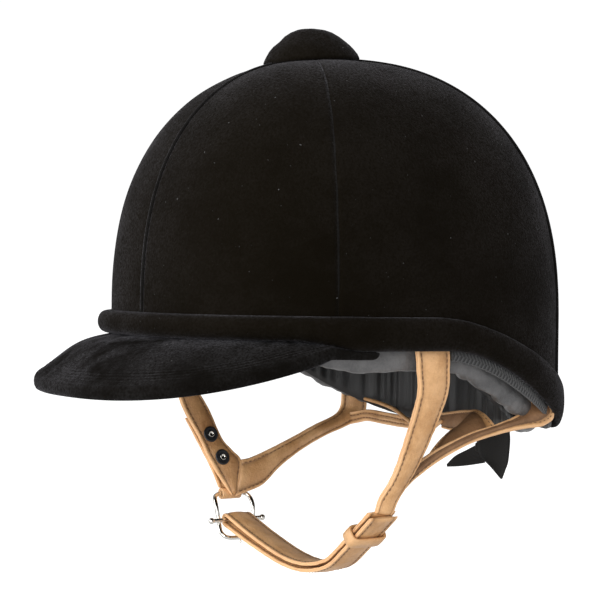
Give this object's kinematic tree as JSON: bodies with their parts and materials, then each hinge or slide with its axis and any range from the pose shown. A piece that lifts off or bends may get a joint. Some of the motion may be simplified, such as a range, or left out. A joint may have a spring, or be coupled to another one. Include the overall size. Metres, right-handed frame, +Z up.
{
  "type": "equestrian riding helmet",
  "caption": "Velvet-covered hunt-style riding helmet with a stiff peak, padded lining, tan leather harness and a buckled chin strap fastened by press studs.",
  "frame": {"origin": "centre of the crown pad's flat lower face, where the helmet rests on the top of a head", "axes": "+Z up out of the crown, -Y forwards towards the peak, +X to the wearer's left"},
  "size_m": [0.2298, 0.3041, 0.312],
  "materials": {
    "velvet": "short-pile black velvet",
    "hard_shell": "moulded, unpolished",
    "foam": "moulded bead foam",
    "black_leather": "soft, slightly glossy",
    "satin": "black satin",
    "tape": "woven binding tape",
    "tan_leather": "smooth padded leather, stitched",
    "nickel": "polished wire",
    "gunmetal": "dark satin",
    "ribbon": "grosgrain ribbon"
  },
  "bodies": {
    "helmet": {"outer_shell": "hard_shell", "foam_liner": "foam", "satin_lining": "satin", "headband": "black_leather", "rim_binding": "tape", "crown_pad": "black_leather", "hat_band": "velvet", "front_left_panel": "velvet", "front_right_panel": "velvet", "side_left_panel": "velvet", "side_right_panel": "velvet", "rear_left_panel": "velvet", "rear_right_panel": "velvet", "crown_button": "velvet", "button_rivet": "nickel", "peak_top_cover": "velvet", "peak_board": "hard_shell", "peak_under_cover": "velvet", "left_front_strap": "tan_leather", "left_rear_arm": "tan_leather", "left_nape_strap": "tan_leather", "right_front_strap": "tan_leather", "right_rear_arm": "tan_leather", "right_nape_strap": "tan_leather", "nape_lace": "tan_leather", "lace_knot": "tan_leather", "left_front_rivet": "nickel", "left_rear_rivet": "nickel", "right_front_rivet": "nickel", "right_rear_rivet": "nickel", "upper_stud_socket": "gunmetal", "lower_stud_socket": "gunmetal", "bow_knot": "ribbon", "bow_left_tail": "ribbon", "bow_right_tail": "ribbon"},
    "chin_strap": {"chin_strap": "tan_leather"},
    "keeper": {"strap_keeper": "tan_leather"},
    "buckle": {"buckle_frame": "nickel"},
    "tongue": {"buckle_tongue": "nickel"},
    "tab": {"stud_tab": "tan_leather", "upper_stud_cap": "gunmetal", "lower_stud_cap": "gunmetal"}
  },
  "joints": [
    {"name": "chin_strap_swing", "type": "hinge", "parent": "helmet", "child": "chin_strap", "pos_m": [0.08, -0.022, -0.2235], "axis": [0, -1, 0], "range_deg": [0, 75]},
    {"name": "keeper_slide", "type": "slide", "parent": "chin_strap", "child": "keeper", "axis": [0.7809, 0, 0.6247], "range_m": [-0.006, 0.01]},
    {"name": "buckle_swing", "type": "hinge", "parent": "chin_strap", "child": "buckle", "pos_m": [-0.072, -0.022, -0.245], "axis": [0, -1, 0], "range_deg": [0, 14]},
    {"name": "tongue_pivot", "type": "hinge", "parent": "buckle", "child": "tongue", "pos_m": [-0.072, -0.022, -0.245], "axis": [0, 1, 0], "range_deg": [0, 90]},
    {"name": "tab_peel", "type": "hinge", "parent": "buckle", "child": "tab", "pos_m": [-0.081, -0.022, -0.23], "axis": [0, -1, 0], "range_deg": [0, 110]}
  ]
}
